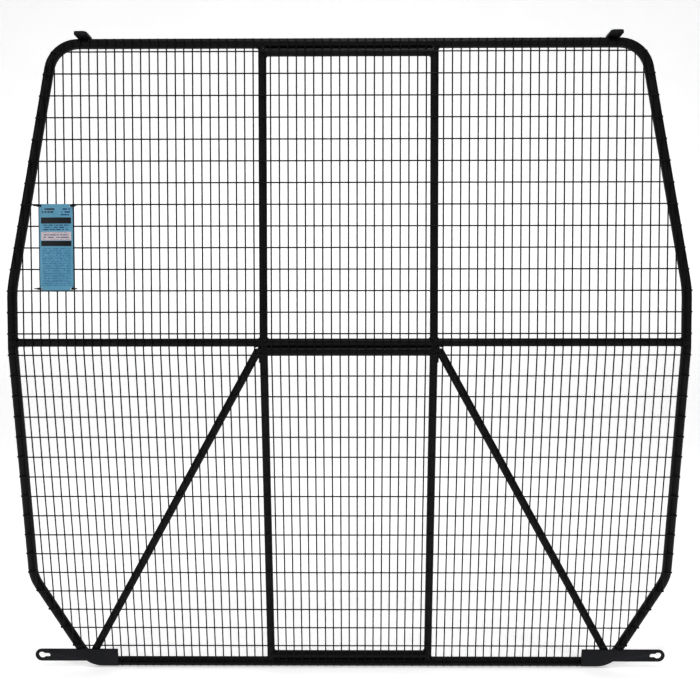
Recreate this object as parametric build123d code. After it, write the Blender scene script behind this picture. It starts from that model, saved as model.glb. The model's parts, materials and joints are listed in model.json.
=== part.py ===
from build123d import *
import math
import os

os.makedirs("parts", exist_ok=True)

# Driving sizes, in millimetres. X is across the vehicle, +Y is away from the
# load side that is looked at, +Z is up. The origin is midway between the two
# roof bolt holes, on the upper face of the roof tabs.
frame_od = 22.2            # outer hoops
inner_od = 19.05           # uprights, rails and braces inside the hoops
wall = 1.6                 # of every tube
wire_d = 3.0
pitch_x = 20.0             # one line wire every 20 mm
pitch_z = 50.0             # one cross wire every 50 mm
fold_deg = 9.2             # the lower panel leans back by this much
fold_h = -36.3             # height of the fold, from the last upper cross wire

side_x = 791.5             # axis of the straight side tubes
lean_in = 54.6             # how far the leaning upper sides have come in at lean_h
lean_h = 400.0
lean_slope = 0.1851
top_h = 673.8              # axis of the top rail
corner_r = 70.0
upper_bend_r = 220.0
low_in = 62.5              # how far the angled lower sides have come in, low_up above the bottom rail
low_up = 117.0
low_slope = 0.5375
bottom_s = 817.0           # axis of the bottom rail, down the lower panel
lower_bend_r = 90.0
upright_x = 200.0
mid_rail_over = 5.875      # underside of the mid rail, above the fold
fold_rail_over = 3.325     # upper side of the second mid rail, above the fold
brace_top_out = 3.5        # a brace starts this far outside the upright's axis
brace_top_s = -12.0
brace_foot_in = 4.1        # and ends this far inside the hoop's lower corner
brace_foot_up = 11.0

tab_w = 30.0
tab_t = 6.0
tab_len = 40.0
tab_in = 73.22             # from the hoop's upper corner in to the middle of a tab
tab_reach = 22.0           # from the mesh plane to the tip of a tab
tab_hole_d = 9.0
tab_hole_in = 13.0         # hole centre from the tip

plate_t = 4.0
arm_depth = 32.0
arm_up = 25.5              # middle of the arm, above the bottom rail's axis
arm_end_in = 8.9           # centre of the round end, in from the side tube's axis
plate_in = 77.6            # inner edge of the plate, in from the hoop's lower corner
plate_down = 4.2           # lower edge of the plate, below the bottom rail's axis
key_in = 10.0              # keyhole centre, in from the side tube's axis
key_d = 18.0
slot_w = 11.0
slot_len = 15.5            # from the keyhole centre to the slot's end centre

card_w = 78.0
card_h = 200.0
card_t = 1.2
card_in = 69.5             # from the side tube's axis in to the wire that the card's left ties go round
card_past_wire = 2.5       # left edge of the card, inside that wire
card_top_h = 301.0
slot_side = 4.4            # square slots for the ties
slot_down = 4.0            # slot centres, from the top and bottom edges
slot_in_left = 3.5         # slot centres, from the side edges
slot_in_right = 5.5
strap_w = 2.6              # the ties' straps
strap_t = 1.0
strap_gap = 0.9            # between a strap and the wire inside it
head_w = 5.0               # the ties' heads: across, along the strap and out
head_h = 4.6
head_t = 3.2
tail_len = 8.0

r_wire = wire_d / 2
r_frame = frame_od / 2
r_inner = inner_od / 2
frame_off = r_wire + r_frame
inner_off = r_wire + r_inner
mesh_y = tab_reach - tab_hole_in
tab_top_h = top_h + r_frame - 0.3 + tab_t
theta = math.radians(fold_deg)
lean_x = side_x - lean_in
mid_h = fold_h + mid_rail_over + r_inner
fold_rail_s = r_inner - fold_rail_over
arm_s = bottom_s - arm_up
key_x = side_x - key_in

half = theta / 2
fold_at = (0, mesh_y, fold_h - tab_top_h)

# The planes of the two mesh panels, facing the load side, and the mitre plane of the fold.
upper = Plane(origin=(0, mesh_y, -tab_top_h), x_dir=(1, 0, 0), z_dir=(0, -1, 0))
lower = Plane(origin=fold_at, x_dir=(1, 0, 0), z_dir=(0, -math.cos(theta), -math.sin(theta)))
mitre = Plane(origin=fold_at, x_dir=(1, 0, 0), z_dir=(0, -math.sin(half), math.cos(half)))


def save(name, shape):
    shape.label = name
    export_step(shape, "parts/" + name + ".step")
    print(name, round(shape.volume / 1000, 2), "cm3", len(shape.solids()), "solids")


def bent_bar(points, radii, section):
    """A section carried along straight runs joined by tangent arcs in the XY plane."""
    pieces = []
    last = Vector(*points[0])
    for k in range(1, len(points) - 1):
        a = Vector(*points[k - 1])
        b = Vector(*points[k])
        c = Vector(*points[k + 1])
        u = (a - b).normalized()
        v = (c - b).normalized()
        turn = math.pi - math.acos(u.dot(v))
        reach = radii[k - 1] * math.tan(turn / 2)
        start = b + u * reach
        end = b + v * reach
        centre = b + (u + v).normalized() * (radii[k - 1] / math.cos(turn / 2))
        pieces.append(straight(last, start, section))
        face = Plane(origin=start, x_dir=(0, 0, 1), z_dir=b - start).location * section
        way = (-u).cross(v)
        pieces.append(revolve(face, Axis(centre, (0, 0, 1 if way.Z > 0 else -1)), math.degrees(turn)))
        last = end
    pieces.append(straight(last, Vector(*points[-1]), section))
    bar = pieces[0]
    for piece in pieces[1:]:
        bar = bar + piece
    return bar


def straight(start, end, section):
    place = Plane(origin=start, x_dir=(0, 0, 1), z_dir=end - start)
    return extrude(place.location * section, amount=(end - start).length)


def rod(p, q, radius):
    """Solid round bar between two points."""
    a = Vector(*p)
    b = Vector(*q)
    axis = b - a
    place = Plane(origin=a, z_dir=axis)
    return place.location * Cylinder(radius, axis.length, align=(Align.CENTER, Align.CENTER, Align.MIN))


def tube(p, q, radius):
    """Hollow tube between two points; both ends stay open for coping."""
    return rod(p, q, radius) - rod(p, q, radius - wall)


def on_upper(x, h, off):
    return upper.from_local_coords((x, h, -off))


def on_lower(x, s, off):
    return lower.from_local_coords((x, -s, -off))


def biggest(shape):
    return max(shape.solids(), key=lambda s: s.volume)


def mirrored(shape):
    return mirror(shape, about=Plane.YZ)


# ---------------------------------------------------------------- outer hoops
upper_vertex_h = lean_h - (side_x - lean_x) / lean_slope
corner_x = lean_x - lean_slope * (top_h - lean_h)
low_s = bottom_s - low_up
low_vertex_s = low_s - low_in / low_slope
low_corner_x = side_x - low_in - low_slope * low_up
arc_turn = math.pi / 2 - math.atan(lean_slope)
arc_x = corner_x - corner_r * math.tan(arc_turn / 2)
arc_h = top_h - corner_r

past_fold = 12.0           # tubes are drawn this far past the fold, then cut on the mitre plane


def both_sides(right):
    """Points from the left end over to the right end, from the right half's points."""
    return [(-x, y) for x, y in reversed(right)] + right


def hoop(right_points, radii, plane, keep):
    """The hoop's tube as a plain bar, to cut its neighbours with, and hollow."""
    place = plane.offset(-frame_off).location
    points = both_sides(right_points)
    solid = place * bent_bar(points, radii, Circle(r_frame))
    hollow = place * bent_bar(points, radii, Circle(r_frame) - Circle(r_frame - wall))
    return split(solid, bisect_by=mitre, keep=keep), split(hollow, bisect_by=mitre, keep=keep)


upper_right = [(corner_x, top_h), (side_x, upper_vertex_h), (side_x, fold_h - past_fold)]
lower_right = [(low_corner_x, -bottom_s), (side_x, -low_vertex_s), (side_x, past_fold)]
upper_radii = [upper_bend_r, corner_r, corner_r, upper_bend_r]
lower_radii = [lower_bend_r, corner_r, corner_r, lower_bend_r]
upper_full, upper_hoop = hoop(upper_right, upper_radii, upper, Keep.TOP)
lower_full, lower_hoop = hoop(lower_right, lower_radii, lower, Keep.BOTTOM)
save("upper_hoop", upper_hoop)
save("lower_hoop", lower_hoop)

# ------------------------------------------------------- uprights and rails


def coped(p, q, posts):
    """Tube between two points with every post cut out of it."""
    bar = tube(p, q, r_inner)
    for post in posts:
        bar = bar - post
    return biggest(bar)


def above(shape):
    return split(shape, bisect_by=mitre, keep=Keep.TOP)


def below(shape):
    return split(shape, bisect_by=mitre, keep=Keep.BOTTOM)


near = upright_x + 60
top_post = rod(on_upper(-near, top_h, frame_off), on_upper(near, top_h, frame_off), r_frame)
bottom_post = rod(on_lower(-near, bottom_s, frame_off), on_lower(near, bottom_s, frame_off), r_frame)
up_posts = []
low_posts = []
for name, sign in (("left", -1), ("right", 1)):
    x = sign * upright_x
    fold_end = on_upper(x, fold_h - past_fold, inner_off)
    top_end = on_upper(x, top_h, inner_off)
    up_posts.append(above(rod(fold_end, top_end, r_inner)))
    save(name + "_upper_upright", biggest(above(coped(fold_end, top_end, [top_post]))))
    fold_end = on_lower(x, -past_fold, inner_off)
    low_end = on_lower(x, bottom_s, inner_off)
    low_posts.append(below(rod(fold_end, low_end, r_inner)))
    save(name + "_lower_upright", biggest(below(coped(fold_end, low_end, [bottom_post]))))

mid_posts = []
for name, sign, post in (("left", -1, up_posts[0]), ("right", 1, up_posts[1])):
    side_low = on_upper(sign * side_x, fold_h, frame_off)
    side_high = on_upper(sign * side_x, mid_h + inner_od * 4, frame_off)
    side_post = rod(side_low, side_high, r_frame)
    mid_a = on_upper(sign * upright_x, mid_h, inner_off)
    mid_b = on_upper(sign * side_x, mid_h, inner_off)
    mid_posts.append(rod(mid_a, mid_b, r_inner))
    save(name + "_mid_rail", coped(mid_a, mid_b, [post, side_post]))

touch = r_frame + r_inner + 0.05
top_bay_h = top_h - touch
bottom_bay_s = bottom_s - touch


def bay_rail(plane_point, along):
    """Tube between the two uprights, at a height or at a distance below the fold."""
    left_end = plane_point(-upright_x, along, inner_off)
    right_end = plane_point(upright_x, along, inner_off)
    return coped(left_end, right_end, up_posts + low_posts)


save("centre_mid_rail", bay_rail(on_upper, mid_h))
save("top_bay_rail", bay_rail(on_upper, top_bay_h))
save("fold_bay_rail", bay_rail(on_lower, fold_rail_s))
save("bottom_bay_rail", bay_rail(on_lower, bottom_bay_s))


for name, sign, k in (("left", -1, 0), ("right", 1, 1)):
    brace_a = on_lower(sign * (upright_x + brace_top_out), brace_top_s, inner_off)
    brace_b = on_lower(sign * (low_corner_x - brace_foot_in), bottom_s - brace_foot_up, inner_off)
    brace = coped(brace_a, brace_b, (up_posts[k], mid_posts[k], low_posts[k], lower_full))
    save(name + "_brace", biggest(below(brace)))

# ------------------------------------------------------------ keyhole brackets


plate_in_x = low_corner_x - plate_in
plate_top_s = arm_s - arm_depth / 2


def keyhole_plate():
    """Flat arm past the hoop's lower corner, on a foot that deepens down to the bottom rail."""
    top = -plate_top_s
    low = top - arm_depth
    base = -(bottom_s + plate_down)
    arm_end_x = side_x - arm_end_in
    slot_x = key_x - slot_len
    dip_out = low_corner_x + 3
    dip_in = low_corner_x - 38
    run = dip_out - dip_in
    rise = low - base
    curve = (run ** 2 + rise ** 2) / (2 * rise)
    half_turn = math.asin(run / curve) / 2
    dip_middle = (dip_in + curve * math.sin(half_turn), base + curve * (1 - math.cos(half_turn)))
    edges = [
        Line((plate_in_x, top), (arm_end_x, top)),
        ThreePointArc((arm_end_x, top), (arm_end_x + arm_depth / 2, -arm_s), (arm_end_x, low)),
        Line((arm_end_x, low), (dip_out, low)),
        ThreePointArc((dip_out, low), dip_middle, (dip_in, base)),
        Line((dip_in, base), (plate_in_x, base)),
        Line((plate_in_x, base), (plate_in_x, top)),
    ]
    outline = make_face(Wire(edges))
    key = Pos(key_x, -arm_s) * Circle(key_d / 2)
    slot = Pos((key_x + slot_x) / 2, -arm_s) * Rectangle(key_x - slot_x, slot_w)
    nose = Pos(slot_x, -arm_s) * Circle(slot_w / 2)
    flat = outline - key - slot - nose
    plate = extrude(flat, amount=plate_t)
    return lower.offset(-r_wire).location * plate


right_bracket = keyhole_plate()
save("right_keyhole_bracket", right_bracket)
save("left_keyhole_bracket", mirrored(right_bracket))

# ------------------------------------------------------------------ roof tabs


def roof_tab():
    tab_x = corner_x - tab_in
    tip_y = -tab_hole_in
    box = Pos(tab_x, tip_y + tab_len / 2, -tab_t / 2) * Box(tab_w, tab_len, tab_t)
    tips = box.edges().filter_by(Axis.Z).sort_by(Axis.Y)[:2]
    box = fillet(tips, 8)
    hole = Pos(tab_x, 0, -tab_t / 2) * Cylinder(tab_hole_d / 2, tab_t * 3)
    return box - hole - upper_full


right_tab = biggest(roof_tab())
save("right_roof_tab", right_tab)
save("left_roof_tab", mirrored(right_tab))

# ----------------------------------------------------------------------- mesh
wire_lap = 5.0             # a wire runs this far past the axis of the hoop
cross_off = -wire_d        # cross wires lie on the near side of the line wires
fold_gap = r_wire * math.tan(half) + 0.01


def side_at_h(h):
    """Axis of the upper hoop at a height, on the right."""
    if h <= upper_vertex_h:
        return side_x
    line = lean_x - lean_slope * (h - lean_h)
    if h <= arc_h:
        return line
    on_arc = arc_x + math.sqrt(max(corner_r ** 2 - (h - arc_h) ** 2, 0))
    return min(line, on_arc)


def side_at_s(s):
    """Axis of the lower hoop at a distance below the fold, on the right."""
    if s <= low_vertex_s:
        return side_x
    return side_x - low_slope * (s - low_vertex_s)


def top_of(x):
    """Upper end of the line wire at x."""
    h = top_h + wire_lap
    while side_at_h(min(h, top_h)) + wire_lap * 0.8 < abs(x):
        h -= 1.0
    if h > arc_h and abs(x) > arc_x:
        while math.hypot(abs(x) - arc_x, h - arc_h) > corner_r + wire_lap:
            h -= 1.0
    return h


def foot_of(x):
    """Lower end of the line wire at x."""
    s = bottom_s + wire_lap
    if abs(x) > plate_in_x - 2:
        s = plate_top_s - 0.5
    while side_at_s(s) + wire_lap * 0.8 < abs(x):
        s -= 1.0
    return s


line_count = int(side_x / pitch_x)
line_xs = [i * pitch_x for i in range(-line_count, line_count + 1)]
upper_lines = []
lower_lines = []
for x in line_xs:
    upper_lines.append(rod(on_upper(x, fold_h + fold_gap, 0), on_upper(x, top_of(x), 0), r_wire))
    lower_lines.append(rod(on_lower(x, fold_gap, 0), on_lower(x, foot_of(x), 0), r_wire))
save("upper_line_wires", Compound(children=upper_lines))
save("lower_line_wires", Compound(children=lower_lines))

upper_rows = [j * pitch_z for j in range(int(top_h / pitch_z) + 1)]
lower_rows = [j * pitch_z + fold_h for j in range(1, int((bottom_s - fold_h) / pitch_z) + 1)]
plate_clear_s = plate_top_s - wire_d
upper_cross = []
for h in upper_rows:
    e = side_at_h(h) + wire_lap
    upper_cross.append(rod(on_upper(-e, h, cross_off), on_upper(e, h, cross_off), r_wire))
lower_cross = []
for s in lower_rows:
    e = side_at_s(s) + wire_lap
    if s > plate_clear_s:
        e = plate_in_x - 1.0
    lower_cross.append(rod(on_lower(-e, s, cross_off), on_lower(e, s, cross_off), r_wire))
save("upper_cross_wires", Compound(children=upper_cross))
save("lower_cross_wires", Compound(children=lower_cross))

# ---------------------------------------------------------------------- welds
tack_r = 1.9
tack_foot = frame_off - math.sqrt(r_frame ** 2 - wire_lap ** 2) - 0.1   # down to the tube behind it


def tack(plane_point, near_face):
    """Button of weld at a wire end, standing on the tube."""
    return rod(plane_point(tack_foot), plane_point(near_face), tack_r)


top_tacks = []
foot_tacks = []
for x in line_xs:
    h = top_of(x) + tack_r
    top_tacks.append(tack(lambda off: on_upper(x, h, off), -1.2))
    if abs(x) < plate_in_x:
        s = foot_of(x) + tack_r
        foot_tacks.append(tack(lambda off: on_lower(x, s, off), -1.2))
save("top_tack_welds", Compound(children=top_tacks))
save("bottom_tack_welds", Compound(children=foot_tacks))

for name, sign in (("left", -1), ("right", 1)):
    tacks = []
    for h in upper_rows:
        e = sign * (side_at_h(h) + wire_lap + tack_r)
        tacks.append(tack(lambda off: on_upper(e, h, off), cross_off - 1.2))
    for s in lower_rows:
        e = sign * (side_at_s(s) + wire_lap + tack_r)
        if s < plate_clear_s:
            tacks.append(tack(lambda off: on_lower(e, s, off), cross_off - 1.2))
    save(name + "_side_tack_welds", Compound(children=tacks))

# ------------------------------------------------------- rating card and ties
card_wire = int((side_x - card_in) / pitch_x)
card_l = -card_wire * pitch_x + card_past_wire
card_off = cross_off - r_wire - 0.3


def card_ties():
    """For each corner: its name, the side the wire is on, the wire, the slot and the height."""
    card_r = card_l + card_w
    strap_clear = r_wire + strap_gap
    left_wire = -card_wire * pitch_x
    right_wire = math.ceil((card_r - strap_clear) / pitch_x) * pitch_x
    ties = []
    left_slot, right_slot = card_l + slot_in_left, card_r - slot_in_right
    sides = (("left", -1, left_wire, left_slot), ("right", 1, right_wire, right_slot))
    for side, out, wire_x, slot_x in sides:
        ties.append(("top_" + side, out, wire_x, slot_x, card_top_h - slot_down))
        ties.append(("bottom_" + side, out, wire_x, slot_x, card_top_h - card_h + slot_down))
    return ties


def rating_card():
    face = RectangleRounded(card_w, card_h, 4)
    card = extrude(face, amount=card_t)
    card = Pos(card_l + card_w / 2, card_top_h - card_h / 2, 0) * card
    for _, _, _, slot_x, h in card_ties():
        card = card - Pos(slot_x, h, card_t / 2) * Box(slot_side, slot_side, card_t * 3)
    return upper.offset(-card_off).location * card


save("rating_card", rating_card())


def cable_tie(out, wire_x, slot_x, h):
    """Strap through a corner slot of the card and round the line wire behind it."""
    wire_end = wire_x + out * (r_wire + strap_t + strap_gap)
    slot_end = slot_x - out * (strap_t + 0.5)
    width = abs(wire_end - slot_end)
    front = -card_off + card_t + strap_t + 0.2
    back = -r_wire - strap_t - 0.3
    depth = front - back
    ring = Box(width, strap_w, depth) - Box(width - 2 * strap_t, strap_w * 2, depth - 2 * strap_t)
    ring = Pos((wire_end + slot_end) / 2, h, (front + back) / 2) * ring
    head_z = front + head_t / 2 - 0.2
    head = Pos(wire_x, h, head_z) * Box(head_w, head_h, head_t)
    tail_x = wire_x + out * (head_w / 2 + tail_len / 2 - 0.5)
    tail = Pos(tail_x, h, head_z) * Box(tail_len, strap_w - 0.2, strap_t + 0.1)
    return upper.location * (ring + head + tail)


for name, out, wire_x, slot_x, h in card_ties():
    save(name + "_cable_tie", cable_tie(out, wire_x, slot_x, h))
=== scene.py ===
# %% [markdown]
# # A welded mesh cargo barrier
# The real object is a bent tube frame with a sheet of welded wire mesh on its near side. The
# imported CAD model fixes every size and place, so the first thing is to load it and keep its box.
# Everything made later is in metres, in that same frame.

# %% Load the frame
import json
import math
import random

import bmesh
import bpy
from mathutils import Matrix, Vector
from mathutils.bvhtree import BVHTree

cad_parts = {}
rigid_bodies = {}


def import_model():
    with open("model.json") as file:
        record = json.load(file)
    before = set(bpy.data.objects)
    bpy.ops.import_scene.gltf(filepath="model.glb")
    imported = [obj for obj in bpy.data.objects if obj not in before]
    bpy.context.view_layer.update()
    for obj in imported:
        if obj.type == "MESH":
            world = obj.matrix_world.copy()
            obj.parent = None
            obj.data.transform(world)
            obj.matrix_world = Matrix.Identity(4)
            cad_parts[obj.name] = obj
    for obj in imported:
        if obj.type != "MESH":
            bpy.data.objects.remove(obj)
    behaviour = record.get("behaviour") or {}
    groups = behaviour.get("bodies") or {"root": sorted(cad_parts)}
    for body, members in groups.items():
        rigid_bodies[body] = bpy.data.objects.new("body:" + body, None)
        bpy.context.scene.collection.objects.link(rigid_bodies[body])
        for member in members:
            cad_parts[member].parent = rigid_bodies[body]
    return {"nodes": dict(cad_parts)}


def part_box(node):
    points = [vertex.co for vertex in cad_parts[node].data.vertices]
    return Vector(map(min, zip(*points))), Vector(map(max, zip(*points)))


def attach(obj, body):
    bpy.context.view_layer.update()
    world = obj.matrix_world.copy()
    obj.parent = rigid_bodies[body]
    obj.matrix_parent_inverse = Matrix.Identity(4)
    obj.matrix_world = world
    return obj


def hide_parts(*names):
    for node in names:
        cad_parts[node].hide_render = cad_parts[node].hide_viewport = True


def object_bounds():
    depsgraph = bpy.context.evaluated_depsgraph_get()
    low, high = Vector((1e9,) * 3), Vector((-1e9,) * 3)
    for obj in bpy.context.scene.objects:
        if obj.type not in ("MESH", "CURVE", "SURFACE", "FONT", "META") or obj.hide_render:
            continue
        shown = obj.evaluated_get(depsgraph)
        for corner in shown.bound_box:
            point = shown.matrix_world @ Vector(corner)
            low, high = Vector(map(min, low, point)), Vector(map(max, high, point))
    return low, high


for left_over in list(bpy.data.objects):
    bpy.data.objects.remove(left_over)
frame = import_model()
cad_low, cad_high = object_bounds()

print("CAD box", [round(v, 4) for v in cad_low], [round(v, 4) for v in cad_high])

# %% [markdown]
# ## Two flat panels that meet at a fold
# The mesh is flat above and below one fold, and the lower panel leans back. It helps to think in
# each panel's own directions: across, along the panel, and behind the line wires. Two small
# functions turn such a place into a point of the scene, so no later cell needs the lean angle.

# %% Places on the two panels
wire_radius = 0.0015
mesh_y = (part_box("upper_line_wires")[0].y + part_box("upper_line_wires")[1].y) / 2
row_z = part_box("upper_cross_wires")[0].z + wire_radius
fold_h = -0.0363
fold_z = row_z + fold_h
lean = math.radians(9.2)
lower_down = Vector((0, math.sin(lean), -math.cos(lean)))
lower_back = Vector((0, math.cos(lean), math.sin(lean)))


def on_upper(x, h, off):
    """A place h above the last upper cross wire, off behind the line wires."""
    return Vector((x, mesh_y + off, row_z + h))


def on_lower(x, s, off):
    """A place s below the fold, measured down the leaning panel, off behind the line wires."""
    return Vector((x, mesh_y, fold_z)) + lower_down * s + lower_back * off


def below_fold(point):
    """How far down the leaning panel a point lies."""
    return (point - Vector((0, mesh_y, fold_z))).dot(lower_down)


print("mesh plane at", round(mesh_y, 4), "fold at", round(fold_z, 4))

# %% [markdown]
# ## Satin black powder coat
# Powder coat is sprayed dry and baked, so it is smooth but never mirror flat: it has a fine orange
# peel, a slightly uneven gloss, and dust that dulls it in places. It could be one dark colour with
# a roughness value, but the peel is what breaks up the highlight on a real tube. The pattern is
# noise on Object coordinates, which keeps its real size on long and short pieces alike.

# %% The powder coat and its cousins


def node(tree, kind, **inputs):
    """Add a shader node and set its named input sockets."""
    made = tree.nodes.new(kind)
    for name, value in inputs.items():
        made.inputs[name.replace("_", " ")].default_value = value
    return made


def noise_at(tree, coordinates, scale, detail=3.0, roughness=0.5):
    """Noise on Object coordinates. Scale is in waves for each metre."""
    made = node(tree, "ShaderNodeTexNoise", Scale=scale, Detail=detail, Roughness=roughness)
    tree.links.new(coordinates, made.inputs["Vector"])
    return made.outputs["Fac"]


def spread(tree, value, low, high, from_low=0.3, from_high=0.7):
    """Stretch a noise value over a chosen range."""
    made = node(tree, "ShaderNodeMapRange", From_Min=from_low, From_Max=from_high, To_Min=low, To_Max=high)
    tree.links.new(value, made.inputs["Value"])
    return made.outputs["Result"]


def two_tone(tree, value, dark, light):
    """Mix two colours by a value from 0 to 1."""
    made = tree.nodes.new("ShaderNodeMix")
    made.data_type = "RGBA"
    made.inputs[6].default_value = (*dark, 1)
    made.inputs[7].default_value = (*light, 1)
    tree.links.new(value, made.inputs[0])
    return made.outputs[2]


def bumped(tree, shader, heights):
    """Chain bump nodes into a shader: each height is (value, strength, depth in metres)."""
    normal = None
    for value, strength, depth in heights:
        made = node(tree, "ShaderNodeBump", Strength=strength, Distance=depth)
        tree.links.new(value, made.inputs["Height"])
        if normal is not None:
            tree.links.new(normal, made.inputs["Normal"])
        normal = made.outputs["Normal"]
    tree.links.new(normal, shader.inputs["Normal"])


def powder_coat(name, dark, light, rough, peel, lumps):
    """Black powder coat: peel is the height of the orange peel, lumps that of what lies under it."""
    finish = bpy.data.materials.new(name)
    finish.use_nodes = True
    tree = finish.node_tree
    shader = tree.nodes["Principled BSDF"]
    shader.inputs["Specular IOR Level"].default_value = 0.25
    place = tree.nodes.new("ShaderNodeTexCoord").outputs["Object"]
    cloud = noise_at(tree, place, 22.0, 4.0, 0.6)
    grit = noise_at(tree, place, 420.0, 2.0, 0.6)
    tree.links.new(two_tone(tree, spread(tree, cloud, 0, 1), dark, light), shader.inputs["Base Color"])
    tree.links.new(spread(tree, grit, rough[0], rough[1]), shader.inputs["Roughness"])
    fine = noise_at(tree, place, 950.0, 2.0, 0.5)
    bumped(tree, shader, [(grit, 1.0, lumps), (fine, 1.0, peel)])
    return finish


coat_dark = (0.002, 0.002, 0.0025)
coat_light = (0.006, 0.006, 0.007)
plate_dark = (0.010, 0.0105, 0.013)
plate_light = (0.016, 0.017, 0.021)
bead_dark = (0.003, 0.003, 0.0035)
bead_light = (0.010, 0.010, 0.011)
tube_coat = powder_coat("tube_coat", coat_dark, coat_light, (0.34, 0.5), 0.00012, 0.00022)
plate_coat = powder_coat("plate_coat", plate_dark, plate_light, (0.42, 0.56), 0.00008, 0.0001)
wire_coat = powder_coat("wire_coat", coat_dark, coat_light, (0.36, 0.5), 0.00004, 0.00008)
bead_coat = powder_coat("bead_coat", bead_dark, bead_light, (0.12, 0.3), 0.00010, 0.0002)
print("finishes", [m.name for m in (tube_coat, plate_coat, wire_coat, bead_coat)])

# %% [markdown]
# ## From a bmesh to a piece
# Every piece ends the same way: doubles merged, faces turned outwards, smooth shading with sharp
# edges kept, a finish, and the CAD nodes it stands for. One function does that, so each cell after
# this one is only about shape.

# %% Finish a piece


def piece(name, bm, finish, slot, *nodes, sharp_deg=35):
    """Turn a bmesh into a piece of the barrier that stands for CAD nodes."""
    bmesh.ops.remove_doubles(bm, verts=bm.verts, dist=1e-6)
    bmesh.ops.recalc_face_normals(bm, faces=bm.faces)
    mesh = bpy.data.meshes.new(name)
    bm.to_mesh(mesh)
    bm.free()
    mesh.polygons.foreach_set("use_smooth", [True] * len(mesh.polygons))
    mesh.set_sharp_from_angle(angle=math.radians(sharp_deg))
    mesh.materials.append(finish)
    made = bpy.data.objects.new(name, mesh)
    bpy.context.scene.collection.objects.link(made)
    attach(made, "root")
    if nodes:
        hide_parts(*nodes)
    print(name, len(mesh.polygons), "faces")
    return made


# %% [markdown]
# ## Soft edges and closed ends
# Two finishing moves come up again and again: a small bevel on sharp edges, which stands for the
# way a coating rounds a corner, and a flat face that closes an open ring.

# %% Soften an edge and close a ring


def sharp_edges(bm, degrees):
    """The edges whose two faces turn by more than an angle."""
    limit = math.radians(degrees)
    return [e for e in bm.edges if len(e.link_faces) == 2 and e.calc_face_angle() > limit]


def soften(bm, edges, offset, segments=2):
    bmesh.ops.bevel(
        bm,
        geom=edges,
        offset=offset,
        offset_type="OFFSET",
        affect="EDGES",
        segments=segments,
        profile=0.5,
        material=-1,
    )


def corners_of(ring):
    return list({v for e in ring for v in e.verts})


def close_rings(bm, rings):
    for ring in rings:
        bmesh.ops.contextual_create(bm, geom=corners_of(ring) + ring)


# %% [markdown]
# ## Many small shapes in one piece
# A mesh operator looks through its whole bmesh, so adding the two-thousandth weld to a big one is
# slow. Each small shape, or each row of them, is made in a bmesh of its own and then poured into
# the piece's bmesh, which only copies it.

# %% Pour a small bmesh into a big one


def pour(small, big):
    """Add everything in one bmesh to another, and free the first."""
    cup = bpy.data.meshes.new("cup")
    small.to_mesh(cup)
    small.free()
    big.from_mesh(cup)
    bpy.data.meshes.remove(cup)


# %% [markdown]
# ## Bent tube
# A tube bender pushes the tube forward, then swings it round a die, and so on to the end. A curve
# with a bevel would do, but the same two moves exist as mesh operators: extruding a ring of edges
# is the push, and spinning it about the die's centre is the bend. Each bend stays a true arc and
# each straight run costs one row of faces.

# %% The tube bender


def edges_between(geometry):
    """The edges of a result whose two ends are both in it: the new ring."""
    ends = {g for g in geometry if isinstance(g, bmesh.types.BMVert)}
    return [g for g in geometry if isinstance(g, bmesh.types.BMEdge) and set(g.verts) <= ends]


def open_ring(bm, at, heading, radius, sides):
    """A ring of edges round a point, facing along a direction."""
    turned = Matrix.Translation(at) @ heading.to_track_quat("Z", "Y").to_matrix().to_4x4()
    made = bmesh.ops.create_circle(bm, segments=sides, radius=radius, matrix=turned)
    return list({e for v in made["verts"] for e in v.link_edges})


def push(bm, ring, step):
    made = bmesh.ops.extrude_edge_only(bm, edges=ring)["geom"]
    ends = [g for g in made if isinstance(g, bmesh.types.BMVert)]
    bmesh.ops.translate(bm, verts=ends, vec=step)
    return edges_between(made)


def swing(bm, ring, centre, axis, angle, steps):
    geom = corners_of(ring) + ring
    made = bmesh.ops.spin(bm, geom=geom, cent=centre, axis=axis, angle=angle, steps=steps)
    return edges_between(made["geom_last"])


def bend_bar(bm, points, die, radius, sides, bend_deg=6.0):
    """Carry a ring along straight runs joined by arcs of one die radius for each corner."""
    here = points[0]
    first = open_ring(bm, here, (points[1] - here).normalized(), radius, sides)
    ring = first
    for before, corner, after, bend in zip(points, points[1:], points[2:], die):
        back = (before - corner).normalized()
        on = (after - corner).normalized()
        turn = math.pi - back.angle(on)
        reach = bend * math.tan(turn / 2)
        start = corner + back * reach
        centre = corner + (back + on).normalized() * (bend / math.cos(turn / 2))
        ring = push(bm, ring, start - here)
        steps = max(2, round(math.degrees(turn) / bend_deg))
        ring = swing(bm, ring, centre, (-back).cross(on).normalized(), turn, steps)
        here = corner + on * reach
    last = push(bm, ring, points[-1] - here)
    close_rings(bm, (first, last))


# %% [markdown]
# ## The two outer hoops
# The frame's outline is two hoops of 22 mm tube, one for each panel, that meet in a mitre at the
# fold. Drawing each past the fold and cutting it on the mitre plane gives both cut faces the same
# shape, which is what a saw set to half the fold angle does.

# %% The two hoops
frame_radius = (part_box("upper_hoop")[1].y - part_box("upper_hoop")[0].y) / 2
frame_off = wire_radius + frame_radius
side_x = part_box("upper_hoop")[1].x - frame_radius
top_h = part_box("upper_hoop")[1].z - frame_radius - row_z
bottom_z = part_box("lower_hoop")[0].z + frame_radius
bottom_s = (fold_z + frame_off * math.sin(lean) - bottom_z) / math.cos(lean)
lean_slope = 0.1851
lean_mark_h = 0.4
lean_in = 0.0546
lean_start_h = lean_mark_h - lean_in / lean_slope
corner_x = side_x - lean_slope * (top_h - lean_start_h)
foot_slope = 0.5375
low_in = 0.0625
low_up = 0.117
foot_start_s = bottom_s - low_up - low_in / foot_slope
foot_x = side_x - foot_slope * (bottom_s - foot_start_s)
past_fold = 0.012
mitre_at = Vector((0, mesh_y, fold_z))
mitre_up = Vector((0, -math.sin(lean / 2), math.cos(lean / 2)))
frame_sides = 28
top_die = 0.22
side_die = 0.07
foot_die = 0.09


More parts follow.
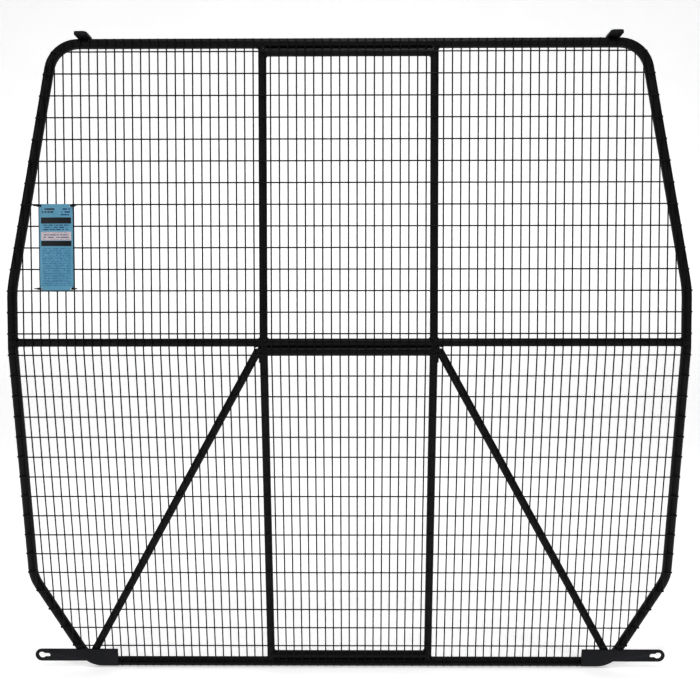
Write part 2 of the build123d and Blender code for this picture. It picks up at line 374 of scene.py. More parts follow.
def both_sides(place, right, off):
    """The hoop's corners from the left end to the right end, from those of its right half."""
    mirrored = [(-x, along) for x, along in right]
    return [place(x, along, off) for x, along in mirrored[::-1] + right]


def cut_at_fold(bm, keep_above):
    """Keep one side of the mitre plane and close the cut."""
    everything = bm.verts[:] + bm.edges[:] + bm.faces[:]
    cut = bmesh.ops.bisect_plane(
        bm,
        geom=everything,
        dist=1e-6,
        plane_co=mitre_at,
        plane_no=mitre_up,
        clear_outer=not keep_above,
        clear_inner=keep_above,
    )
    rim = [g for g in cut["geom_cut"] if isinstance(g, bmesh.types.BMEdge)]
    bmesh.ops.holes_fill(bm, edges=rim, sides=0)


upper_right = [(corner_x, top_h), (side_x, lean_start_h), (side_x, fold_h - past_fold)]
lower_right = [(foot_x, bottom_s), (side_x, foot_start_s), (side_x, -past_fold)]


def hoop(name, place, right, end_die, keep_above, cad_node):
    """Bend one hoop, cut it at the fold and give back its skin for the weld beads."""
    bm = bmesh.new()
    dies = (end_die, side_die, side_die, end_die)
    bend_bar(bm, both_sides(place, right, frame_off), dies, frame_radius, frame_sides)
    cut_at_fold(bm, keep_above)
    skin = BVHTree.FromBMesh(bm)
    piece(name, bm, tube_coat, "powder_coat", cad_node)
    return skin


upper_hoop_skin = hoop("hoop_upper", on_upper, upper_right, top_die, True, "upper_hoop")
lower_hoop_skin = hoop("hoop_lower", on_lower, lower_right, foot_die, False, "lower_hoop")
print("frame tube", round(frame_radius * 2, 4), "side", round(side_x, 4), "bottom", round(bottom_s, 4))

# %% [markdown]
# ## Uprights, rails and braces
# Inside the hoops the frame is straight 19 mm tube. On the bench each end is notched to fit round
# its neighbour. In a render nobody sees inside the notch, so each tube simply runs a little way
# into the next one, and the weld bead made further on covers the line where they meet.

# %% The straight tubes
inner_radius = (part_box("left_upper_upright")[1].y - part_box("left_upper_upright")[0].y) / 2
inner_off = wire_radius + inner_radius
upright_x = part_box("right_upper_upright")[0].x + inner_radius
mid_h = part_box("centre_mid_rail")[0].z + inner_radius - row_z
fold_rail_s = 0.0062
bay_gap = frame_radius + inner_radius
brace_top_x = upright_x + 0.0035
brace_foot_x = foot_x - 0.0041
brace_foot_s = bottom_s - 0.011
inner_sides = 24
skins = {}


def straight_tube(name, start, end, cad_node, trim=None):
    """One straight tube, with its skin kept for the weld beads."""
    bm = bmesh.new()
    rings = [open_ring(bm, start, (end - start).normalized(), inner_radius, inner_sides)]
    rings.append(push(bm, rings[0], end - start))
    close_rings(bm, rings)
    if trim is not None:
        cut_at_fold(bm, trim)
    skins[name] = BVHTree.FromBMesh(bm)
    piece(name, bm, tube_coat, "powder_coat", cad_node)


for side, sign in (("left", -1), ("right", 1)):
    x = sign * upright_x
    fold_end = on_upper(x, fold_h - past_fold, inner_off)
    top_end = on_upper(x, top_h, inner_off)
    straight_tube("upright_upper_" + side, fold_end, top_end, side + "_upper_upright", True)
    fold_end = on_lower(x, -past_fold, inner_off)
    bottom_end = on_lower(x, bottom_s, inner_off)
    straight_tube("upright_lower_" + side, fold_end, bottom_end, side + "_lower_upright", False)
    mid_in = on_upper(x, mid_h, inner_off)
    straight_tube("rail_mid_" + side, mid_in, on_upper(sign * side_x, mid_h, inner_off), side + "_mid_rail")
    brace_top = on_lower(sign * brace_top_x, -past_fold, inner_off)
    brace_foot = on_lower(sign * brace_foot_x, brace_foot_s, inner_off)
    straight_tube("brace_" + side, brace_top, brace_foot, side + "_brace", False)

bay_rails = (
    ("rail_mid_centre", "centre_mid_rail", on_upper, mid_h),
    ("rail_bay_top", "top_bay_rail", on_upper, top_h - bay_gap),
    ("rail_bay_fold", "fold_bay_rail", on_lower, fold_rail_s),
    ("rail_bay_bottom", "bottom_bay_rail", on_lower, bottom_s - bay_gap),
)
for name, cad_node, place, along in bay_rails:
    left_end, right_end = (place(x, along, inner_off) for x in (-upright_x, upright_x))
    straight_tube(name, left_end, right_end, cad_node)

# %% [markdown]
# ## The wire mesh
# Welded mesh is two layers: line wires that run up and down every 20 mm, and cross wires laid on
# them every 50 mm. The sheet is bent once, so a line wire is a single bar with a small bend at the
# fold. Each wire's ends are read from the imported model, since they stop at the hoop's curve. There
# are over a hundred wires and each is only 3 mm thick, so eight sides are enough.

# %% Where each wire ends
line_pitch = 0.02
cross_pitch = 0.05
wire_sides = 8


def farthest(cad_node, group_of, value_of):
    """The largest value in each group of a CAD node's corners."""
    found = {}
    for corner in frame["nodes"][cad_node].data.vertices:
        key = group_of(corner.co)
        found[key] = max(found.get(key, -10.0), value_of(corner.co))
    return found


def line_number(point):
    return round(point.x / line_pitch)


def upper_row(point):
    return round((point.z - row_z) / cross_pitch)


def lower_row(point):
    return round((below_fold(point) - fold_h) / cross_pitch)


line_tops = farthest("upper_line_wires", line_number, lambda p: p.z - row_z)
line_feet = farthest("lower_line_wires", line_number, below_fold)
upper_rows = farthest("upper_cross_wires", upper_row, lambda p: p.x)
lower_rows = farthest("lower_cross_wires", lower_row, lambda p: p.x)
print(len(line_tops), "line wires,", len(upper_rows), "+", len(lower_rows), "cross wires")

# %% Line wires and cross wires
fold_die = 0.006
lines_bm = bmesh.new()
for number, top in line_tops.items():
    x = number * line_pitch
    route = [on_upper(x, top, 0), Vector((x, mesh_y, fold_z)), on_lower(x, line_feet[number], 0)]
    wire_bm = bmesh.new()
    bend_bar(wire_bm, route, (fold_die,), wire_radius, wire_sides, 3.0)
    pour(wire_bm, lines_bm)
line_nodes = ("upper_line_wires", "lower_line_wires")
piece("wires_line", lines_bm, wire_coat, "mesh_coat", *line_nodes, sharp_deg=50)

cross_off = -2 * wire_radius
cross_places = [(on_upper, number * cross_pitch, end) for number, end in upper_rows.items()]
cross_places += [(on_lower, fold_h + number * cross_pitch, end) for number, end in lower_rows.items()]
cross_bm = bmesh.new()
for place, along, end in cross_places:
    wire_bm = bmesh.new()
    route = [place(-end, along, cross_off), place(end, along, cross_off)]
    bend_bar(wire_bm, route, (), wire_radius, wire_sides)
    pour(wire_bm, cross_bm)
cross_nodes = ("upper_cross_wires", "lower_cross_wires")
piece("wires_cross", cross_bm, wire_coat, "mesh_coat", *cross_nodes, sharp_deg=50)

# %% [markdown]
# ## Spot welds at the crossings
# The mesh machine presses the two wires together and melts them, which leaves a small squeezed-out
# collar at each crossing. There are more than two thousand, so each is a squashed ball with only
# a few faces. They share one mesh for each panel.

# %% A collar at every crossing
collar_size = Matrix.Diagonal((0.0022, 0.0013, 0.0022, 1))


def collars(name, place, rows, first_along):
    bm = bmesh.new()
    for row, end in rows.items():
        along = first_along + row * cross_pitch
        row_bm = bmesh.new()
        for number in line_tops:
            x = number * line_pitch
            if abs(x) > end - wire_radius:
                continue
            reach = line_tops[number] if place is on_upper else line_feet[number]
            if along > reach:
                continue
            seat = Matrix.Translation(place(x, along, cross_off / 2)) @ collar_size
            bmesh.ops.create_uvsphere(row_bm, u_segments=6, v_segments=4, radius=1, matrix=seat)
        pour(row_bm, bm)
    piece(name, bm, wire_coat, "mesh_coat", sharp_deg=80)


collars("crossings_upper", on_upper, upper_rows, 0.0)
collars("crossings_lower", on_lower, lower_rows, fold_h)

# %% [markdown]
# ## Tack welds at the wire ends
# Where a wire ends on a tube, a welder drops one short tack over it. No two are alike, so each is
# a flattened ball with its own width, height and a little turn, from one seeded draw of random
# numbers, and the same barrier comes out on every run.

# %% A tack on every wire end
draw = random.Random(7)
tack_radius = 0.0019


def add_tack(bm, middle, back, size=1.0):
    """One flattened lump of weld, low along the direction that points into the tube."""
    wide = tack_radius * size
    facing = back.to_track_quat("Z", "Y").to_matrix().to_4x4()
    turned = facing @ Matrix.Rotation(draw.uniform(0, 3), 4, "Z")
    ranges = ((1.0, 1.35), (0.9, 1.15), (0.9, 1.1))
    shape = Matrix.Diagonal([wide * draw.uniform(*limits) for limits in ranges] + [1])
    tack_bm = bmesh.new()
    seat = Matrix.Translation(middle) @ turned @ shape
    bmesh.ops.create_icosphere(tack_bm, subdivisions=2, radius=1, matrix=seat)
    pour(tack_bm, bm)


tack_off = 0.0012
rail_tack_off = 0.0015
rail_tack_every = 3
upper_back = Vector((0, 1, 0))
top_bm = bmesh.new()
for number, top in line_tops.items():
    add_tack(top_bm, on_upper(number * line_pitch, top + tack_radius * 0.4, tack_off), upper_back)
piece("tacks_top", top_bm, bead_coat, "weld_coat", "top_tack_welds")

bottom_bm = bmesh.new()
plate_inner_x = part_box("right_keyhole_bracket")[0].x
for number, foot in line_feet.items():
    x = number * line_pitch
    if abs(x) < plate_inner_x:
        add_tack(bottom_bm, on_lower(x, foot - tack_radius * 0.3, tack_off), lower_back, 0.9)
    if abs(x) < upright_x and number % rail_tack_every == 0:
        spot = on_lower(x, fold_rail_s + inner_radius * 0.8, rail_tack_off)
        add_tack(bottom_bm, spot, lower_back, 0.9)
piece("tacks_bottom", bottom_bm, bead_coat, "weld_coat", "bottom_tack_welds")

side_tack_off = cross_off + tack_off * 2
for side, sign in (("left", -1), ("right", 1)):
    side_bm = bmesh.new()
    for number, end in upper_rows.items():
        spot = on_upper(sign * (end + tack_radius * 0.4), number * cross_pitch, side_tack_off)
        add_tack(side_bm, spot, upper_back)
    for number, end in lower_rows.items():
        if end > plate_inner_x:
            along = fold_h + number * cross_pitch
            spot = on_lower(sign * (end + tack_radius * 0.4), along, side_tack_off)
            add_tack(side_bm, spot, lower_back)
    piece("tacks_" + side, side_bm, bead_coat, "weld_coat", side + "_side_tack_welds")

# %% [markdown]
# ## Weld beads round the joints
# A bead is the line where two tubes meet, filled with metal in small overlapping steps. To find
# that line, straight lines are cast along one tube's surface until they hit the other. A small ring
# is then carried from hit to hit, growing and shrinking a little, and that gives the ripples. The
# two rails at the fold lie almost against each other, so one straight seam fills the slit.

# %% The bead maker
bead_radius = 0.0024
bead_sides = 8


def bead_frame(at, outward, along, size):
    """A ring's place: facing along the bead, with one side turned outward."""
    z = along.normalized()
    x = (outward - z * outward.dot(z)).normalized()
    y = z.cross(x)
    turned = Matrix((x, y, z)).transposed().to_4x4()
    return Matrix.Translation(at) @ turned @ Matrix.Diagonal((size, size, size, 1))


def add_bead(big, spots, outwards, size, closed):
    """Carry a rippled ring through the spots."""
    bm = bmesh.new()
    count = len(spots)
    places = []
    for k in range(count):
        before = spots[k - 1] if closed or k > 0 else spots[k]
        after = spots[(k + 1) % count] if closed or k < count - 1 else spots[k]
        ripple = 1 + 0.16 * math.sin(k * 2.1) + draw.uniform(-0.08, 0.08)
        if not closed and k in (0, count - 1):
            ripple = 0.45
        places.append(bead_frame(spots[k], outwards[k], after - before, size * ripple))
    if closed:
        places.append(places[0])
    made = bmesh.ops.create_circle(bm, segments=bead_sides, radius=1, matrix=places[0])
    first = list({e for v in made["verts"] for e in v.link_edges})
    ring = first
    for here, there in zip(places, places[1:]):
        grown = bmesh.ops.extrude_edge_only(bm, edges=ring)["geom"]
        ends = [g for g in grown if isinstance(g, bmesh.types.BMVert)]
        bmesh.ops.transform(bm, matrix=there @ here.inverted(), verts=ends)
        ring = edges_between(grown)
    if not closed:
        close_rings(bm, (first, ring))
    pour(bm, big)


def first_hit(start, way, skins):
    """Where a line from start first meets one of the skins, or the nearest place on the first."""
    hits = [skin.ray_cast(start, way) for skin in skins]
    hits = [hit for hit in hits if hit[0] is not None]
    if hits:
        return min(hits, key=lambda hit: hit[3])[0]
    return skins[0].find_nearest(start + way * 0.05)[0]


def bead_round(bm, start, toward, skins, size=bead_radius, stations=44):
    """The bead where a straight tube that comes from start meets the skins of others."""
    across = toward.orthogonal().normalized()
    spots = []
    outwards = []
    for k in range(stations):
        out = Matrix.Rotation(2 * math.pi * k / stations, 3, toward) @ across
        hit = first_hit(start + out * inner_radius, toward, skins)
        if not spots or (hit - spots[-1]).length > 0.0003:
            spots.append(hit)
            outwards.append(out)
    add_bead(bm, spots, outwards, size, True)


# %% Beads on every joint of the frame
beads = bmesh.new()
stand_off = 0.05
for side, sign in (("left", -1), ("right", 1)):
    out_x = Vector((sign, 0, 0))
    uprights = [skins["upright_upper_" + side], skins["upright_lower_" + side]]
    from_below = on_upper(sign * upright_x, top_h - stand_off, inner_off)
    bead_round(beads, from_below, Vector((0, 0, 1)), [upper_hoop_skin])
    from_above = on_lower(sign * upright_x, bottom_s - stand_off, inner_off)
    bead_round(beads, from_above, lower_down, [lower_hoop_skin])
    bead_round(beads, on_upper(sign * (side_x - stand_off), mid_h, inner_off), out_x, [upper_hoop_skin])
    bead_round(beads, on_upper(sign * (upright_x + stand_off), mid_h, inner_off), -out_x, uprights)
    brace_top = on_lower(sign * brace_top_x, -past_fold, inner_off)
    brace_foot = on_lower(sign * brace_foot_x, brace_foot_s, inner_off)
    brace_way = (brace_foot - brace_top).normalized()
    bead_round(beads, brace_foot - brace_way * stand_off, brace_way, [lower_hoop_skin])
    mid_and_upright = [uprights[1], uprights[0], skins["rail_mid_" + side]]
    bead_round(beads, brace_top + brace_way * stand_off * 2, -brace_way, mid_and_upright)
    for name, cad_node, place, along in bay_rails:
        bead_round(beads, place(sign * (upright_x - stand_off), along, inner_off), out_x, uprights)
piece("beads_frame", beads, bead_coat, "weld_coat", sharp_deg=60)

# %% The seam between the mid rail and the rail below the fold
seam_radius = 0.0016
seam_sides = 12


def between_rails(x):
    """Halfway between the middles of the two rails."""
    return (on_upper(x, mid_h, inner_off) + on_lower(x, fold_rail_s, inner_off)) / 2


seam_start = between_rails(-upright_x)
seam_run = between_rails(upright_x) - seam_start
seam = bmesh.new()
seam_rings = [open_ring(seam, seam_start, seam_run.normalized(), seam_radius, seam_sides)]
seam_rings.append(push(seam, seam_rings[0], seam_run))
close_rings(seam, seam_rings)
piece("seam_fold", seam, bead_coat, "weld_coat", sharp_deg=60)

# %% [markdown]
# ## Keyhole brackets
# Each bracket is 4 mm plate cut to an outline, with a keyhole that drops over a stud. A pen that
# draws the outline with pushed corners and spun arcs gives true curves, the loops are filled with
# the keyhole left open, and the plate is pushed to its thickness. A small bevel stands for the
# coating's soft edge.

# %% Pen for flat plates


def pen_start(bm, x, y):
    return bm.verts.new((x, y, 0))


def pen_line(bm, corner, x, y):
    made = bmesh.ops.extrude_vert_indiv(bm, verts=[corner])["verts"][0]
    made.co = (x, y, 0)
    return made


def pen_arc(bm, corner, centre, degrees, steps):
    middle, turn = (*centre, 0), math.radians(degrees)
    made = bmesh.ops.spin(bm, geom=[corner], cent=middle, axis=(0, 0, 1), angle=turn, steps=steps)
    return [g for g in made["geom_last"] if isinstance(g, bmesh.types.BMVert)][0]


def plate_from(bm, thickness, bevel, place):
    """Fill the drawn loops, push them to a thickness, soften the edges and put the plate in place."""
    bmesh.ops.remove_doubles(bm, verts=bm.verts, dist=1e-6)
    bmesh.ops.triangle_fill(bm, edges=bm.edges, use_beauty=True)
    bmesh.ops.dissolve_limit(bm, angle_limit=0.01, verts=bm.verts, edges=bm.edges)
    made = bmesh.ops.extrude_face_region(bm, geom=bm.faces[:])["geom"]
    tops = [g for g in made if isinstance(g, bmesh.types.BMVert)]
    bmesh.ops.translate(bm, verts=tops, vec=(0, 0, thickness))
    bmesh.ops.recalc_face_normals(bm, faces=bm.faces)
    soften(bm, sharp_edges(bm, 40), bevel)
    bmesh.ops.transform(bm, matrix=place, verts=bm.verts)


# %% The two brackets
arm_s = bottom_s - 0.0255
arm_half = 0.016
plate_low_s = bottom_s + 0.0042
arm_end_x = side_x - 0.0089
key_x = side_x - 0.01
key_radius = 0.009
slot_x = key_x - 0.0155
slot_half = 0.0055
foot_out_x = foot_x + 0.003
foot_in_x = foot_x - 0.038
plate_thick = 0.004
plate_soft = 0.0005
lower_across = Vector((1, 0, 0))


def lower_plane(sign):
    """Turns plate coordinates (across, up the panel, towards the viewer) into a place."""
    turned = Matrix((lower_across * sign, -lower_down, -lower_back)).transposed().to_4x4()
    return Matrix.Translation(on_lower(0, 0, wire_radius)) @ turned


def bracket(name, sign, cad_node):
    bm = bmesh.new()
    low = -(arm_s + arm_half)
    run = foot_out_x - foot_in_x
    rise = plate_low_s - (arm_s + arm_half)
    curve = (run * run + rise * rise) / (2 * rise)
    corner = pen_start(bm, plate_inner_x, -plate_low_s)
    corner = pen_line(bm, corner, foot_in_x, -plate_low_s)
    sweep = math.degrees(math.asin(run / curve))
    corner = pen_arc(bm, corner, (foot_in_x, curve - plate_low_s), sweep, 8)
    corner = pen_line(bm, corner, arm_end_x, low)
    corner = pen_arc(bm, corner, (arm_end_x, -arm_s), 180, 24)
    corner = pen_line(bm, corner, plate_inner_x, arm_half - arm_s)
    pen_line(bm, corner, plate_inner_x, -plate_low_s)
    dip = math.degrees(math.asin(slot_half / key_radius))
    neck_x = key_x - key_radius * math.cos(math.radians(dip))
    key = pen_start(bm, neck_x, slot_half - arm_s)
    around = pen_arc(bm, key, (key_x, -arm_s), -(360 - 2 * dip), 28)
    around = pen_line(bm, around, slot_x, -slot_half - arm_s)
    around = pen_arc(bm, around, (slot_x, -arm_s), -180, 12)
    pen_line(bm, around, neck_x, slot_half - arm_s)
    plate_from(bm, plate_thick, plate_soft, lower_plane(sign))
    piece(name, bm, plate_coat, "bracket_coat", cad_node)


bracket("bracket_right", 1, "right_keyhole_bracket")
bracket("bracket_left", -1, "left_keyhole_bracket")

# %% [markdown]
# ## Roof tabs
# Two short flat bars lie on top of the top rail and point at the viewer, each with a bolt hole.
# They are made with the same pen as the brackets, then laid flat.

# %% The two tabs
tab_corner = 0.008
tab_soft = 0.0006
hole_radius = 0.0045
for side in ("left", "right"):
    low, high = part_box(side + "_roof_tab")
    bm = bmesh.new()
    corner = pen_start(bm, low.x, high.y)
    corner = pen_line(bm, corner, low.x, low.y + tab_corner)
    corner = pen_arc(bm, corner, (low.x + tab_corner, low.y + tab_corner), 90, 8)
    corner = pen_line(bm, corner, high.x - tab_corner, low.y)
    corner = pen_arc(bm, corner, (high.x - tab_corner, low.y + tab_corner), 90, 8)
    corner = pen_line(bm, corner, high.x, high.y)
    pen_line(bm, corner, low.x, high.y)
    middle = (low.x + high.x) / 2
    rim = pen_start(bm, middle + hole_radius, 0)
    pen_arc(bm, rim, (middle, 0), 360, 28)
    plate_from(bm, high.z - low.z, tab_soft, Matrix.Translation((0, 0, low.z)))
    piece("tab_" + side, bm, plate_coat, "bracket_coat", side + "_roof_tab")


# %% [markdown]
# ## Rating card and its ties
# The card is a sheet of printed plastic held to the mesh by four nylon ties. The outline is drawn
# with the same pen as the plates, with a square slot near each corner. Its print is a plain
# stand-in: bars and rows of broken strokes with no letters. All of it is one material that reads
# the height and the place across the card, so nothing has to be unwrapped.

# %% The printed finish
card_low, card_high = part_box("rating_card")
card_width = card_high.x - card_low.x
card_height = card_high.z - card_low.z
row_shift = 7.3
word_gap = 0.46


def printed_plastic(name):
    finish = bpy.data.materials.new(name)
    finish.use_nodes = True
    tree = finish.node_tree
    shader = tree.nodes["Principled BSDF"]
    place = tree.nodes.new("ShaderNodeTexCoord").outputs["Object"]
    moved = tree.nodes.new("ShaderNodeMapping")
    moved.vector_type = "TEXTURE"
    moved.inputs["Location"].default_value = (card_low.x, 0, card_low.z)
    moved.inputs["Scale"].default_value = (card_width, 1, card_height)
    tree.links.new(place, moved.inputs["Vector"])
    split = tree.nodes.new("ShaderNodeSeparateXYZ")
    tree.links.new(moved.outputs["Vector"], split.inputs["Vector"])
    across, up = split.outputs["X"], split.outputs["Z"]

    def math_node(kind, a, b=None):
        made = tree.nodes.new("ShaderNodeMath")
        made.operation = kind
        for socket, value in zip(made.inputs, (a, b)):
            if isinstance(value, (int, float)):
                socket.default_value = value
            elif value is not None:
                tree.links.new(value, socket)
        return made.outputs["Value"]

    def both(a, b):
        return math_node("MULTIPLY", a, b)

    def between(value, low, high):
        return both(math_node("GREATER_THAN", value, low), math_node("LESS_THAN", value, high))

    def paint(under, mask, colour):
        made = tree.nodes.new("ShaderNodeMix")
        made.data_type = "RGBA"
        made.inputs[7].default_value = (*colour, 1)
        tree.links.new(mask, made.inputs[0])
        tree.links.new(under, made.inputs[6])
        return made.outputs[2]

    def strokes(low, high, rows, fill, left=0.08, right=0.92, word=26.0):
        """Rows of broken strokes between two heights."""
        row = both(up, rows)
        in_row = math_node("LESS_THAN", math_node("FRACT", row), fill)
        seat = tree.nodes.new("ShaderNodeCombineXYZ")
        tree.links.new(both(across, word), seat.inputs["X"])
        tree.links.new(both(math_node("FLOOR", row), row_shift), seat.inputs["Y"])
        patches = noise_at(tree, seat.outputs["Vector"], 1.0, 1.0, 0.5)
        words = math_node("GREATER_THAN", patches, word_gap)
        field = both(between(up, low, high), between(across, left, right))
        return both(both(in_row, words), field)

    shade = spread(tree, noise_at(tree, place, 30.0), 0, 1)
    colour = two_tone(tree, shade, (0.125, 0.335, 0.465), (0.155, 0.375, 0.515))
    ink = (0.004, 0.005, 0.008)
    deep = (0.012, 0.07, 0.17)
    small_print = (0.03, 0.16, 0.32)
    pale = (0.60, 0.53, 0.56)
    inside = between(across, 0.05, 0.95)
    for low, high, tone in ((0.775, 0.845, ink), (0.58, 0.68, pale), (0.515, 0.575, ink)):
        colour = paint(colour, both(between(up, low, high), inside), tone)
    colour = paint(colour, strokes(0.90, 0.965, 30.0, 0.5, 0.08, 0.5, 12.0), ink)
    colour = paint(colour, strokes(0.87, 0.965, 30.0, 0.5, 0.64, 0.92, 9.0), deep)
    colour = paint(colour, strokes(0.70, 0.765, 40.0, 0.5, 0.12, 0.88, 20.0), deep)
    colour = paint(colour, strokes(0.59, 0.67, 36.0, 0.35, 0.1, 0.9, 20.0), deep)
    colour = paint(colour, strokes(0.05, 0.49, 52.0, 0.42), small_print)
    tree.links.new(colour, shader.inputs["Base Color"])
    rough = spread(tree, noise_at(tree, place, 260.0), 0.38, 0.55)
    tree.links.new(rough, shader.inputs["Roughness"])
    bumped(tree, shader, [(noise_at(tree, place, 45.0), 0.5, 0.0006)])
    return finish


# %% The card
card_print = printed_plastic("card_print")
slot_half_side = 0.0022
slot_from_end = 0.0015
card_round = 0.004
card_soft = 0.0002
tie_spots = []
for level in ("top", "bottom"):
    for side in ("left", "right"):
        low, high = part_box(level + "_" + side + "_cable_tie")
        tie_spots.append((level + "_" + side, low, high))

card_bm = bmesh.new()
pen = pen_start(card_bm, card_low.x + card_round, card_low.z)
left_x, right_x = card_low.x + card_round, card_high.x - card_round
low_z, high_z = card_low.z + card_round, card_high.z - card_round
corners = (
    (right_x, card_low.z, right_x, low_z),
    (card_high.x, high_z, right_x, high_z),
    (left_x, card_high.z, left_x, high_z),
    (card_low.x, low_z, left_x, low_z),
)
for x, z, centre_x, centre_z in corners:
    pen = pen_line(card_bm, pen, x, z)
    pen = pen_arc(card_bm, pen, (centre_x, centre_z), 90, 5)
for name, low, high in tie_spots:
    card_slot_x = high.x - slot_from_end if "left" in name else low.x + slot_from_end
    card_slot_z = (low.z + high.z) / 2
    pen = pen_start(card_bm, card_slot_x - slot_half_side, card_slot_z - slot_half_side)
    for dx, dz in ((1, -1), (1, 1), (-1, 1), (-1, -1)):
        x, z = card_slot_x + dx * slot_half_side, card_slot_z + dz * slot_half_side
        pen = pen_line(card_bm, pen, x, z)
upright_plate = Matrix.Translation((0, card_high.y, 0)) @ Matrix.Rotation(math.pi / 2, 4, "X")
plate_from(card_bm, card_high.y - card_low.y, card_soft, upright_plate)
piece("card", card_bm, card_print, "card", "rating_card")

# %% The nylon ties
nylon_dark = (0.006, 0.006, 0.006)
nylon_light = (0.012, 0.012, 0.012)
tie_nylon = powder_coat("tie_nylon", nylon_dark, nylon_light, (0.32, 0.44), 0.00002, 0.00003)
strap = 0.001
strap_half_width = 0.0013
strap_reach = 0.0034
loop_front = 0.003
loop_squareness = 0.45
head_size = (0.005, 0.0032, 0.0046)
head_soft = 0.0006
tail_thick = 0.0011
tail_width = 0.0024
tail_soft = 0.0003
strap_soft = 0.00025


def small_block(bm, size, at, bevel, segments):
    """A box with soft edges."""
    made = bmesh.ops.create_cube(bm, size=1)["verts"]
    bmesh.ops.scale(bm, verts=made, vec=size)
    bmesh.ops.translate(bm, verts=made, vec=at)
    soften(bm, list({e for v in made for e in v.link_edges}), bevel, segments)


def strap_loop(bm, half, depth):
    """A flat strap bent into a rounded square, lying round the origin."""
    outer = bmesh.ops.create_circle(bm, segments=24, radius=1)["verts"]
    for corner in outer:
        x, y = corner.co.x, corner.co.y
        corner.co.x = math.copysign(abs(x) ** loop_squareness, x)
        corner.co.y = math.copysign(abs(y) ** loop_squareness, y)
    ring = list({e for v in outer for e in v.link_edges})
    inner_made = bmesh.ops.extrude_edge_only(bm, edges=ring)["geom"]
    inner = [g for g in inner_made if isinstance(g, bmesh.types.BMVert)]
    bmesh.ops.scale(bm, verts=outer, vec=(half, depth / 2, 1))
    bmesh.ops.scale(bm, verts=inner, vec=(half - strap, depth / 2 - strap, 1))
    flat = [g for g in inner_made if isinstance(g, bmesh.types.BMFace)]
    wide = bmesh.ops.extrude_face_region(bm, geom=flat)["geom"]
    tops = [g for g in wide if isinstance(g, bmesh.types.BMVert)]
    bmesh.ops.translate(bm, verts=tops, vec=(0, 0, 2 * strap_half_width))
    bmesh.ops.translate(bm, verts=bm.verts, vec=(0, 0, -strap_half_width))
    soften(bm, sharp_edges(bm, 60), strap_soft, 1)


def cable_tie(name, low, high):
    """A strap loop from the card's slot round the wire, with a head in front and a cut tail."""
    bm = bmesh.new()
    out = -1 if "left" in name else 1
    slot_end, tail_end = (high.x, low.x) if out < 0 else (low.x, high.x)
    wire_x = round((low.x + high.x) / 2 / line_pitch) * line_pitch
    wire_end = wire_x + out * strap_reach
    level = (low.z + high.z) / 2
    front = low.y + loop_front
    strap_loop(bm, abs(slot_end - wire_end) / 2, high.y - front)
    middle = Vector(((slot_end + wire_end) / 2, (front + high.y) / 2, level))
    bmesh.ops.transform(bm, matrix=Matrix.Translation(middle), verts=bm.verts)
    block_y = low.y + head_size[1] / 2
    small_block(bm, head_size, Vector((wire_x, block_y, level)), head_soft, 2)
    tail_size = (abs(tail_end - wire_x), tail_thick, tail_width)
    small_block(bm, tail_size, Vector(((tail_end + wire_x) / 2, block_y, level)), tail_soft, 1)
    piece("tie_" + name, bm, tie_nylon, "tie_plastic", name + "_cable_tie", sharp_deg=40)


for name, low, high in tie_spots:
    cable_tie(name, low, high)

# %% [markdown]
# ## Floor, light and camera
# The floor is plain and pale and curves up behind the barrier, so there is no horizon line. Wide
# soft lights keep the shadows faint, and two lamps from above give the weld dots their glints. The
# camera stands a little above the middle of the barrier and looks very slightly down.

# %% The sweep behind the object
floor_z = cad_low.z - 0.0005
sweep_width = 14
sweep_front = 7
sweep_back = 2.6
sweep_round = 1.2
sweep_rise = 6
sweep_bm = bmesh.new()
edge = [pen_start(sweep_bm, 0, 0)]
front = bmesh.ops.extrude_vert_indiv(sweep_bm, verts=edge)
bmesh.ops.translate(sweep_bm, verts=front["verts"], vec=(sweep_width, 0, 0))
ring = front["edges"]
bmesh.ops.translate(sweep_bm, verts=sweep_bm.verts, vec=(-sweep_width / 2, -sweep_front, floor_z))
ring = push(sweep_bm, ring, Vector((0, sweep_front + sweep_back, 0)))
ring = swing(sweep_bm, ring, (0, sweep_back, floor_z + sweep_round), (1, 0, 0), math.pi / 2, 16)
push(sweep_bm, ring, Vector((0, 0, sweep_rise)))
sweep_mesh = bpy.data.meshes.new("sweep")
sweep_bm.to_mesh(sweep_mesh)
sweep_bm.free()
sweep_mesh.polygons.foreach_set("use_smooth", [True] * len(sweep_mesh.polygons))
sweep = bpy.data.objects.new("sweep", sweep_mesh)
bpy.context.scene.collection.objects.link(sweep)
paper = bpy.data.materials.new("pale_paper")
paper.use_nodes = True
paper_tree = paper.node_tree
paper_shader = paper_tree.nodes["Principled BSDF"]
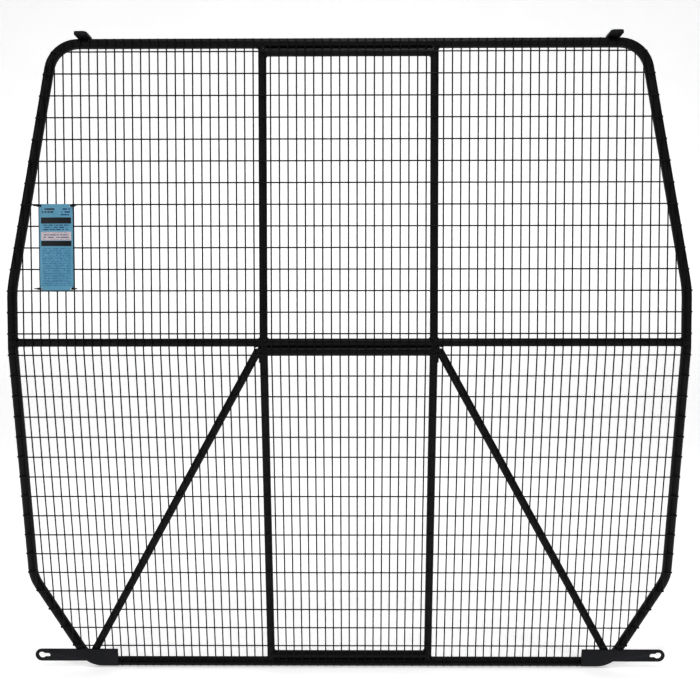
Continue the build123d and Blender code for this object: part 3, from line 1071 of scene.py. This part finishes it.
paper_place = paper_tree.nodes.new("ShaderNodeTexCoord").outputs["Object"]
paper_tone = spread(paper_tree, noise_at(paper_tree, paper_place, 3.0), 0, 1)
paper_colour = two_tone(paper_tree, paper_tone, (0.90,) * 3, (0.93,) * 3)
paper_tree.links.new(paper_colour, paper_shader.inputs["Base Color"])
paper_shader.inputs["Roughness"].default_value = 0.9
paper_shader.inputs["Emission Color"].default_value = (1, 1, 1, 1)
paper_shader.inputs["Emission Strength"].default_value = 0.52
sweep_mesh.materials.append(paper)
print("sweep", len(sweep_mesh.polygons), "faces")

# %% Lights
scene = bpy.context.scene
scene.view_settings.view_transform = "Standard"
scene.view_settings.gamma = 0.8
world = bpy.data.worlds.new("studio")
world.use_nodes = True
world.node_tree.nodes["Background"].inputs["Color"].default_value = (1, 1, 1, 1)
world.node_tree.nodes["Background"].inputs["Strength"].default_value = 0.15
scene.world = world


def soft_light(name, place, aim, width, height, power):
    data = bpy.data.lights.new(name, "AREA")
    data.shape = "RECTANGLE"
    data.size = width
    data.size_y = height
    data.energy = power
    lamp = bpy.data.objects.new(name, data)
    lamp.location = place
    lamp.rotation_euler = (Vector(aim) - Vector(place)).to_track_quat("-Z", "Y").to_euler()
    scene.collection.objects.link(lamp)


middle = (0, 0.05, -0.75)
soft_light("front_left", (-2.6, -2.6, 0.6), middle, 1.6, 2.4, 26)
soft_light("front_right", (2.6, -2.8, 0.2), middle, 1.6, 2.4, 16)
soft_light("overhead", (0, -1.0, 2.2), middle, 2.6, 0.5, 26)
soft_light("glint", (0.25, -1.3, 1.2), (0.1, 0, -0.3), 0.5, 0.2, 14)

# %% Camera
camera_data = bpy.data.cameras.new("camera")
camera_data.lens = 37.65
camera_data.sensor_width = 36
camera = bpy.data.objects.new("camera", camera_data)
camera.location = (0.0131, -1.6997, -0.675)
camera.rotation_euler = (math.radians(90 - 1.805), math.radians(0.055), math.radians(0.331))
scene.collection.objects.link(camera)
scene.camera = camera
print("camera lens", camera_data.lens)
